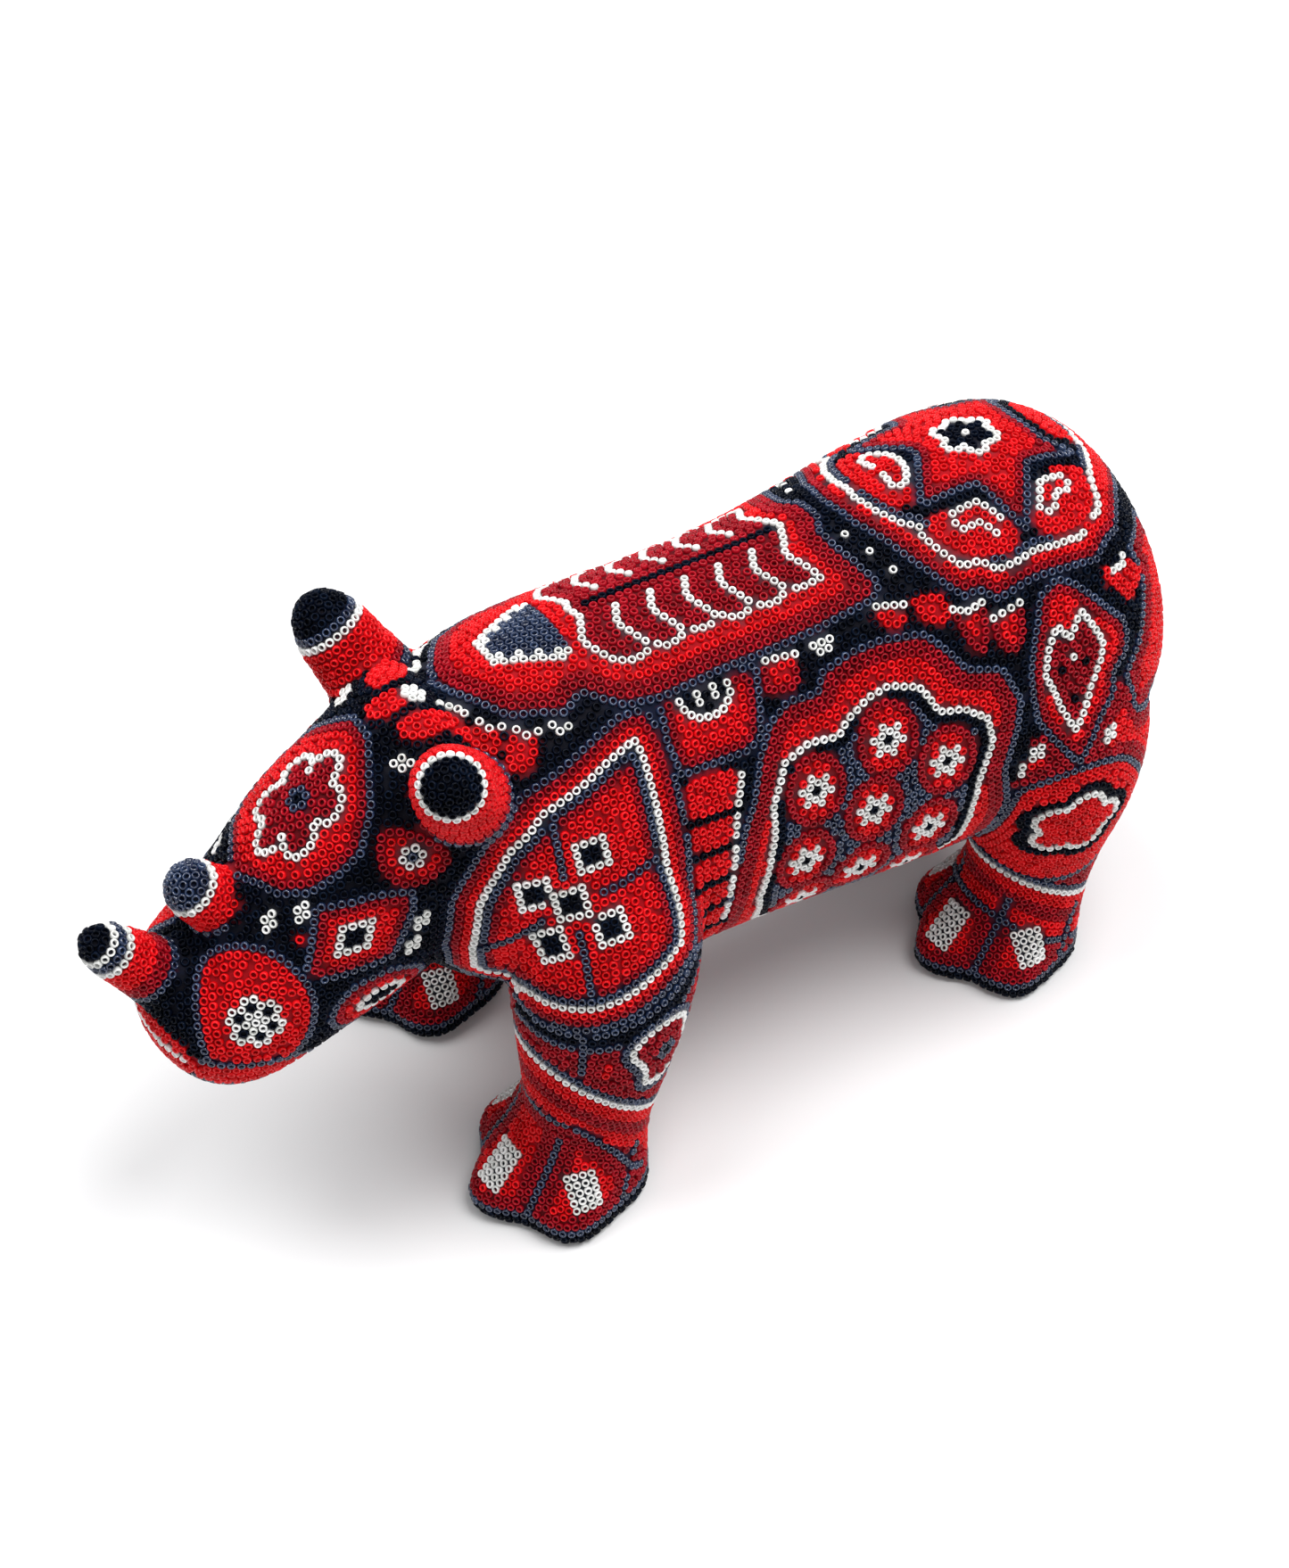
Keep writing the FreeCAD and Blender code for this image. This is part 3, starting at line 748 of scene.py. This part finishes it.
for name, tip, letters in (
        ("left_ear", EAR_FACE, "KKKKWRRRRRRRDN"),
        ("right_ear", (-29.2, -59.3, 130.3), "KKKKKNWRRRRRDN"),
        ("front_horn", (0, -123.8, 96), "KKKWNWRRRDDN"),
        ("rear_horn", (0, -104.3, 101.5), "NNNNWRRRN"),
        ("tail", (0, 122.5, 60), "NNWNRRDDRRDDRRDDRRDD")):
    Bands(layer_numbers(name), from_tip(tip), 0.9, letters)

# Front legs above the rings: a black band, and a flower on the outer side.
both(zone, [(-56, 63), (-47, 58.5), (-39, 58), (-30, 60), (-22, 62), (-12, 66), (-9, 62),
            (-20, 57), (-30, 55), (-40, 54), (-50, 55)], "N", "K")
both(zone, [(-35, 50), (-32, 55), (-27, 57.5), (-21, 57.5), (-16, 53), (-17, 47), (-16, 41),
            (-21, 37), (-27, 36.5), (-32, 39), (-31, 44.5)], "NW", "D", smooth=1)
both(ball, (-24, 47), 0, ["K", "N"])
both(chain, ((-41.5, 57), (-42.5, 47.5)), "N")


# Legs: slanting rings above the feet, navy lines between the toes and a white grid on each
# toe. Each leg has its distance from the middle of the figure, its place along it, and the
# place, height and slope of its first ring.
def slanting(along, height, slope):
    """Distance below a slanting plane that passes at a height over a place along the figure."""
    return lambda places: ((height - places[:, 2] - slope * (places[:, 1] - along))
                           / math.hypot(1, slope))


def outward(turn):
    """The level direction at an angle of turn degrees from straight ahead."""
    angle = math.radians(turn - 90)
    return np.array([math.cos(angle), math.sin(angle), 0])


SHORT_TOE = ["WWWW"] * 5
TALL_TOE = ["WWWW"] * 6
TOE_LINE = [(-46.4, 29.3), (-42.8, 26.5), (-37, 19.5), (-32.8, 11.3), (-30.1, 9.4)]
FEET = (("front", 33, -42.5, (-44.5, 45, 0.85), "NWRRDDRR"),
        ("hind", 28.5, 79.5, (76, 32, 0.55), "NWRRDDRRN"))
for word, across, along, slant, letters in FEET:
    legs = layer_numbers(f"{word}_leg", f"{word}_foot")
    Bands(legs, slanting(*slant), 0.0, letters, limit=lambda places: places[:, 2] > 6)
    Bands(legs, lambda places: places[:, 2], 1.2, "KKN")
    for side in (1, -1):
        for turn, top in ((-36, 23), (36, 23), (-108, 17), (108, 17), (180, 17)):
            low = np.array([side * across, along, 6.5]) + outward(turn) * 18.5
            high = np.array([side * across, along + 7, top]) + outward(turn) * 15
            line = [on_skin(low + (high - low) * share)[0] for share in np.linspace(0, 1, 30)]
            pattern.string(line, "N")
        if word == "front":
            chain("left" if side > 0 else "right", TOE_LINE, "N")
            line = [on_skin(np.array([side * (across + 14 * math.cos(t)),
                                      along + 14 * math.sin(t), 28.5]))[0]
                    for t in np.radians(np.arange(-30, -170, -4))]
            pattern.string(line, "N")
        for turn, rows in ((0, TALL_TOE), (72, SHORT_TOE), (-72, SHORT_TOE)):
            way = outward(turn)
            middle, normal = on_skin(np.array([side * across, along + 2, 13.5]) + way * 18)
            grid(middle, normal, np.array([-way[1], way[0], 0.12]), rows, 96, 0.95)

# ---- Fill: rows of beads over everything else ----

GROUND = np.array([LETTERS["R" if ("leg" in name or "foot" in name) else "K"]
                   for name in LAYERS])


def packed(taken):
    """Lay beads as a beader does: each is pushed into the corner between two that lie side by
    side, so the rows follow the motifs. Gives the new beads' places."""
    cells, queue, facing = {}, [], []
    for place in taken.tolist():
        cells.setdefault(tuple(int(v // PITCH) for v in place), []).append(len(queue))
        queue.append(tuple(place))
        facing.append(tuple(on_skin(place)[1]))

    def near(place, reach):
        """The laid beads within reach of a place, with the squares of their distances."""
        home = [int(v // PITCH) for v in place]
        found = []
        for dx in (-1, 0, 1):
            for dy in (-1, 0, 1):
                for dz in (-1, 0, 1):
                    for index in cells.get((home[0] + dx, home[1] + dy, home[2] + dz), ()):
                        other = queue[index]
                        away = ((place[0] - other[0]) ** 2 + (place[1] - other[1]) ** 2
                                + (place[2] - other[2]) ** 2)
                        if away < reach * reach:
                            found.append((index, away))
        return found

    first = 0
    while first < len(queue):
        here, normal = Vector(queue[first]), Vector(facing[first])
        for index, away in sorted(near(queue[first], FILL_REACH), key=lambda pair: pair[1]):
            if index == first:
                continue
            between = Vector(queue[index]) - here
            sideways = normal.cross(between).normalized()
            reach = math.sqrt(max(0.2, FILL_STEP ** 2 - away / 4))
            for side in (-1, 1):
                guess = here + between / 2 + sideways * reach * side
                if near(guess, 0.80 * FILL_GAP):
                    continue
                spot, way, _, _ = skin_tree.find_nearest(guess)
                if spot.z < LOWEST or near(spot, FILL_GAP):
                    continue
                cells.setdefault(tuple(int(v // PITCH) for v in spot), []).append(len(queue))
                queue.append(tuple(spot))
                facing.append(tuple(way))
        first += 1
    return np.array(queue[len(taken):]).reshape(-1, 3)


def relaxed(fixed, free, rounds):
    """The free beads, pushed apart until they lie evenly."""
    for _ in range(rounds):
        tree = tree_of(np.concatenate([fixed, free]).tolist())
        moved = free.copy()
        for index, place in enumerate(free):
            push = Vector((0, 0, 0))
            here = Vector(place)
            for other, _, away in tree.find_range(here, FILL_REST):
                if away > 1e-6:
                    push += (here - other) / away * (FILL_REST - away)
            moved[index] = skin_tree.find_nearest(here + push * FILL_PUSH)[0]
        free = moved
    return free


fixed = pattern.places
free = packed(fixed)
free = relaxed(fixed, free, 4)
free = np.concatenate([free, packed(np.concatenate([fixed, free]))])
free = relaxed(fixed, free, 3)

places = np.concatenate([fixed, free])
normals = np.array([on_skin(place)[1] for place in places])
bead_layer = layers_of(places)
colours = np.concatenate([pattern.colours, GROUND[bead_layer[len(fixed):]]])
loose = slice(len(fixed), None)
navy_tree = tree_of(pattern.places[pattern.colours == NAVY].tolist())
for index in range(len(fixed), len(places)):
    if colours[index] == RED and navy_tree.find(places[index])[2] < 2.0 * PITCH:
        colours[index] = DARK
for area in pattern.zones:
    given = area.colour(places[loose], normals[loose], bead_layer[loose])
    colours[loose] = np.where(given >= 0, given, colours[loose])

# ---- Beads as meshes, grouped by body region and colour ----

BEAD_SIDES = 12
BEAD_PROFILE = ((1.0, -0.05), (0.93, 0.58), (0.76, 0.97), (0.58, 0.88), (0.48, -0.85),
                (0.80, -0.95))
REGIONS = {
    "neck": ("hump",), "saddle": ("saddle",), "rump": ("rump",),
    "left_side": ("left_shoulder", "left_flank", "left_haunch"),
    "right_side": ("right_shoulder", "right_flank", "right_haunch"),
    "head": ("face", "muzzle"), "spikes": ("ear", "horn", "tail"),
    "left_legs": ("left_front_leg", "left_front_foot", "left_hind_leg", "left_hind_foot"),
    "right_legs": ("right_front_leg", "right_front_foot", "right_hind_leg", "right_hind_foot"),
}
MOST_BEADS = 1350


def bead_mesh(name, chosen):
    """One mesh of all the chosen beads, each a little different in size, tilt and shade."""
    count = len(chosen)
    turn = np.arange(BEAD_SIDES) * 2 * math.pi / BEAD_SIDES
    ring = np.array([(radius * math.cos(t), radius * math.sin(t), height)
                     for radius, height in BEAD_PROFILE for t in turn])
    per = len(ring)
    up = normals[chosen] + tilt[chosen]
    up /= np.linalg.norm(up, axis=1, keepdims=True)
    side = np.cross(up, spin[chosen])
    side /= np.linalg.norm(side, axis=1, keepdims=True)
    third = np.cross(up, side)
    wide, tall = girth[chosen] * BEAD_RADIUS, stature[chosen] * BEAD_HALF_HEIGHT
    middle = places[chosen] - normals[chosen] * (BEAD_SINK + depth_jitter[chosen])[:, None]
    verts = (middle[:, None] + side[:, None] * ring[None, :, :1] * wide[:, None, None]
             + third[:, None] * ring[None, :, 1:2] * wide[:, None, None]
             + up[:, None] * ring[None, :, 2:] * tall[:, None, None]).reshape(-1, 3)
    rows = len(BEAD_PROFILE)
    quads = np.array([(row * BEAD_SIDES + step, row * BEAD_SIDES + (step + 1) % BEAD_SIDES,
                       (row + 1) % rows * BEAD_SIDES + (step + 1) % BEAD_SIDES,
                       (row + 1) % rows * BEAD_SIDES + step)
                      for row in range(rows) for step in range(BEAD_SIDES)])
    faces = (quads[None] + np.arange(count)[:, None, None] * per).reshape(-1, 4)
    obj = mesh_object(name, verts * MM, faces)
    mesh = obj.data
    mesh.polygons.foreach_set("use_smooth", np.ones(len(mesh.polygons), bool))
    shade_layer = mesh.attributes.new("bead_shade", "FLOAT", "POINT")
    shade_layer.data.foreach_set("value", np.repeat(shade[chosen], per).astype(np.float32))
    cells = math.ceil(math.sqrt(count))
    cell = np.stack([np.arange(count) % cells, np.arange(count) // cells], axis=1) / cells
    corner_uv = np.array([[((step + du) / BEAD_SIDES, (row + dv) / rows)
                           for du, dv in ((0, 0), (1, 0), (1, 1), (0, 1))]
                          for row in range(rows) for step in range(BEAD_SIDES)]) * 0.9 + 0.05
    uv = cell[:, None, None] + corner_uv[None] / cells
    mesh.uv_layers.new(name="OFBake").data.foreach_set("uv", uv.ravel().astype(np.float32))
    return obj


total = len(places)
tilt = random.normal(0, 0.05, (total, 3))
spin = random.normal(0, 1, (total, 3))
girth = random.normal(1, 0.018, total).clip(0.95, 1.04)
girth[colours == WHITE] *= 0.97
stature = random.normal(1, 0.05, total).clip(0.88, 1.12)
depth_jitter = random.normal(0, 0.045, total).clip(-0.1, 0.12)
shade = random.random(total)

# ---- Materials ----

def new_material(name):
    """A node material, with its nodes, its links and its shader."""
    material = bpy.data.materials.new(name)
    material.use_nodes = True
    nodes = material.node_tree.nodes
    return material, nodes, material.node_tree.links, nodes["Principled BSDF"]


def noise_node(nodes, links, scale, detail):
    coordinates = nodes.new("ShaderNodeTexCoord")
    noise = nodes.new("ShaderNodeTexNoise")
    noise.inputs["Scale"].default_value = scale
    noise.inputs["Detail"].default_value = detail
    links.new(coordinates.outputs["Object"], noise.inputs["Vector"])
    return noise


def ramp_node(nodes, links, source, stops):
    ramp = nodes.new("ShaderNodeValToRGB")
    ramp.color_ramp.elements[0].position, ramp.color_ramp.elements[0].color = stops[0]
    ramp.color_ramp.elements[1].position, ramp.color_ramp.elements[1].color = stops[-1]
    for position, colour in stops[1:-1]:
        ramp.color_ramp.elements.new(position).color = colour
    links.new(source, ramp.inputs["Fac"])
    return ramp


def mix_node(nodes, links, blend, first, second):
    mix = nodes.new("ShaderNodeMix")
    mix.data_type = "RGBA"
    mix.blend_type = blend
    mix.inputs["Factor"].default_value = 1.0
    links.new(first, mix.inputs["A"])
    links.new(second, mix.inputs["B"])
    return mix


def attribute_node(nodes, name):
    attribute = nodes.new("ShaderNodeAttribute")
    attribute.attribute_name = name
    return attribute


def add_detail(nodes, links, shader, source, roughness, strength, distance):
    """Let a noise vary the roughness between two values, and raise the surface."""
    remap = nodes.new("ShaderNodeMapRange")
    remap.inputs["To Min"].default_value, remap.inputs["To Max"].default_value = roughness
    links.new(source, remap.inputs["Value"])
    links.new(remap.outputs["Result"], shader.inputs["Roughness"])
    bump = nodes.new("ShaderNodeBump")
    bump.inputs["Strength"].default_value = strength
    bump.inputs["Distance"].default_value = distance
    links.new(source, bump.inputs["Height"])
    links.new(bump.outputs["Normal"], shader.inputs["Normal"])


def glass_material(name, tones, roughness, ior, specular, coat):
    """Opaque glass: each bead has its own tone, with faint drawn streaks and a fire polish."""
    material, nodes, links, shader = new_material(name)
    tone = ramp_node(nodes, links, attribute_node(nodes, "bead_shade").outputs["Fac"],
                     [(stop, (*colour, 1)) for stop, colour in zip((0.0, 0.5, 1.0), tones)])
    streaks = noise_node(nodes, links, 900, 3)
    streak_tone = ramp_node(nodes, links, streaks.outputs["Fac"],
                            [(0.3, (0.86, 0.86, 0.86, 1)), (0.7, (1, 1, 1, 1))])
    mix = mix_node(nodes, links, "MULTIPLY", tone.outputs["Color"], streak_tone.outputs["Color"])
    links.new(mix.outputs["Result"], shader.inputs["Base Color"])
    add_detail(nodes, links, shader, streaks.outputs["Fac"], (roughness - 0.05, roughness + 0.08),
               0.12, 0.00004)
    shader.inputs["IOR"].default_value = ior
    shader.inputs["Specular IOR Level"].default_value = specular
    shader.inputs["Coat Weight"].default_value = coat
    shader.inputs["Coat Roughness"].default_value = 0.08
    return material


def wax_material():
    """Dark beeswax, lumpy and dull, darkened further as painted shade between and inside the
    beads, with a painted glow of the light that comes down through coloured glass.
    """
    material, nodes, links, shader = new_material("beeswax")
    lumps = noise_node(nodes, links, 220, 5)
    # Near black: the wax's own dark colour, darkened further as painted shade for the gaps and
    # bead holes where shadow falls between the beads.
    tone = ramp_node(nodes, links, lumps.outputs["Fac"],
                     [(0.3, (0.002, 0.002, 0.004, 1)), (0.6, (0.005, 0.004, 0.006, 1)),
                      (0.85, (0.012, 0.008, 0.009, 1))])
    # Painted light: the colour of the nearby beads is added to the wax colour, standing in for
    # light that comes down through the coloured glass.
    glow = attribute_node(nodes, "painted_light_through_glass")
    mix = mix_node(nodes, links, "ADD", tone.outputs["Color"], glow.outputs["Color"])
    links.new(mix.outputs["Result"], shader.inputs["Base Color"])
    shader.inputs["Specular IOR Level"].default_value = 0.06
    add_detail(nodes, links, shader, lumps.outputs["Fac"], (0.6, 0.85), 0.35, 0.0003)
    return material


def wood_material(name, pale, deep):
    """Bare carved wood: growth rings stretched along the grain, and fine pores."""
    material, nodes, links, shader = new_material(name)
    coordinates = nodes.new("ShaderNodeTexCoord")
    mapping = nodes.new("ShaderNodeMapping")
    mapping.inputs["Scale"].default_value = (60, 8, 60)
    links.new(coordinates.outputs["Object"], mapping.inputs["Vector"])
    rings = nodes.new("ShaderNodeTexWave")
    rings.wave_type = "RINGS"
    rings.inputs["Scale"].default_value = 1.6
    rings.inputs["Distortion"].default_value = 3.5
    rings.inputs["Detail"].default_value = 3
    links.new(mapping.outputs["Vector"], rings.inputs["Vector"])
    tone = ramp_node(nodes, links, rings.outputs["Fac"],
                     [(0.2, (*deep, 1)), (0.8, (*pale, 1))])
    links.new(tone.outputs["Color"], shader.inputs["Base Color"])
    pores = noise_node(nodes, links, 1500, 4)
    add_detail(nodes, links, shader, pores.outputs["Fac"], (0.55, 0.85), 0.3, 0.0001)
    return material


GLASS = (
    glass_material("glass_red", ((0.55, 0.002, 0.004), (0.70, 0.004, 0.008), (0.83, 0.008, 0.013)),
                   0.24, 1.5, 0.15, 0.0),
    glass_material("glass_dark_red", ((0.24, 0.002, 0.008), (0.33, 0.003, 0.011),
                                      (0.42, 0.005, 0.016)), 0.24, 1.5, 0.15, 0.0),
    glass_material("glass_black", ((0.001, 0.002, 0.005), (0.0015, 0.003, 0.009),
                                   (0.003, 0.007, 0.018)), 0.18, 1.5, 0.06, 0.0),
    glass_material("glass_navy", ((0.006, 0.014, 0.045), (0.012, 0.026, 0.072),
                                  (0.026, 0.048, 0.110)), 0.14, 1.65, 0.5, 0.08),
    glass_material("glass_white", ((0.70, 0.71, 0.68), (0.82, 0.82, 0.80), (0.90, 0.90, 0.89)),
                   0.2, 1.5, 0.5, 0.0),
)

# ---- Pieces ----

region_of_layer = np.zeros(len(LAYERS), int)
for number, words in enumerate(REGIONS.values()):
    region_of_layer[layer_numbers(*words)] = number
for number, (region, words) in enumerate(REGIONS.items()):
    in_region = region_of_layer[bead_layer] == number
    nodes_here = [LAYERS[layer] for layer in np.nonzero(region_of_layer == number)[0]]
    for colour, word in enumerate(COLOUR_NAMES):
        chosen = np.nonzero(in_region & (colours == colour))[0]
        chosen = chosen[np.argsort(places[chosen, 1], kind="stable")]
        shares = max(1, math.ceil(len(chosen) / MOST_BEADS))
        for share, part in enumerate(np.array_split(chosen, shares)):
            if not len(part):
                continue
            piece = bead_mesh(f"{region}_beads_{word}_{share + 1}", part)
            piece.data.materials.append(GLASS[colour])
            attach(piece, "root")
            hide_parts(*nodes_here)

wax_nodes = [name for name in frame["nodes"] if name.endswith("_wax")]
wax = mesh_object("wax_coat", (skin - skin_normal * WAX_SINK) * MM, skin_tris)
wax.data.polygons.foreach_set("use_smooth", np.ones(len(skin_tris), bool))
bead_tree = tree_of(places.tolist())
# Painted light: for each bead colour, the colour added to the wax as if light came through that
# glass; each wax corner takes the mean of its three nearest beads.
PAINTED_GLOW = np.array([[0.30, 0.002, 0.004], [0.10, 0.001, 0.002], [0.001, 0.002, 0.004],
                 [0.002, 0.005, 0.016], [0.022, 0.024, 0.030]])
painted_glow_colours = np.ones((len(skin), 4))
for index, place in enumerate(skin.tolist()):
    near = [colours[number] for _, number, _ in bead_tree.find_n(place, 3)]
    painted_glow_colours[index, :3] = PAINTED_GLOW[near].mean(axis=0)
glow = wax.data.attributes.new("painted_light_through_glass", "FLOAT_COLOR", "POINT")
glow.data.foreach_set("color", painted_glow_colours.ravel().astype(np.float32))
wax.data.materials.append(wax_material())
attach(wax, "root")
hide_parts(*wax_nodes)

carved = wood_material("carved_wood", (0.60, 0.40, 0.23), (0.42, 0.25, 0.13))
turned = wood_material("dowel_wood", (0.68, 0.50, 0.32), (0.52, 0.35, 0.20))
for name, node in frame["nodes"].items():
    if name.endswith("_core"):
        node.data.materials.clear()
        node.data.materials.append(carved)
    elif name.endswith(("_dowel", "_peg")):
        node.data.materials.clear()
        node.data.materials.append(turned)

# ---- Floor, light and camera ----

floor = mesh_object("floor", [(-3, -3, 0), (3, -3, 0), (3, 3, 0), (-3, 3, 0)],
                    np.array([[0, 1, 2, 3]]))
floor_material, _, _, floor_shader = new_material("paper_floor")
floor_shader.inputs["Base Color"].default_value = (0.86, 0.86, 0.86, 1)
floor_shader.inputs["Roughness"].default_value = 0.6
floor.data.materials.append(floor_material)

world = bpy.data.worlds.new("soft_room")
world.use_nodes = True
world.node_tree.nodes["Background"].inputs["Color"].default_value = (0.97, 0.98, 1, 1)
world.node_tree.nodes["Background"].inputs["Strength"].default_value = 0.55
bpy.context.scene.world = world


def area_light(name, place, target, size, power):
    lamp = bpy.data.lights.new(name, "AREA")
    lamp.shape = "DISK"
    lamp.size = size
    lamp.energy = power
    obj = bpy.data.objects.new(name, lamp)
    obj.location = place
    obj.rotation_euler = (Vector(target) - Vector(place)).to_track_quat("-Z", "Y").to_euler()
    bpy.context.scene.collection.objects.link(obj)


low, high = cad_box
middle = (Vector(low) + Vector(high)) / 2
area_light("window", (0.25, 0.35, 1.1), middle, 0.75, 11)
area_light("ceiling", (-0.35, -0.3, 1.3), middle, 0.8, 10)

azimuth, elevation, roll = math.radians(60.2), math.radians(46.0), math.radians(-1.53)
distance, target_height = 0.5187, 0.0701
back = Vector((math.sin(azimuth) * math.cos(elevation), -math.cos(azimuth) * math.cos(elevation),
               math.sin(elevation)))
right = Vector((math.cos(azimuth), math.sin(azimuth), 0))
up = back.cross(right)
rolled_right = right * math.cos(roll) + up * math.sin(roll)
rolled_up = up * math.cos(roll) - right * math.sin(roll)
lens = bpy.data.cameras.new("camera")
lens.lens = 55.3
lens.sensor_width = 36
lens.clip_start = 0.01
camera = bpy.data.objects.new("camera", lens)
camera.matrix_world = Matrix.Translation(Vector((0, 0, target_height)) + back * distance) @ Matrix(
    (rolled_right, rolled_up, back)).transposed().to_4x4()
bpy.context.scene.collection.objects.link(camera)
bpy.context.scene.camera = camera
bpy.context.scene.view_settings.view_transform = "Standard"
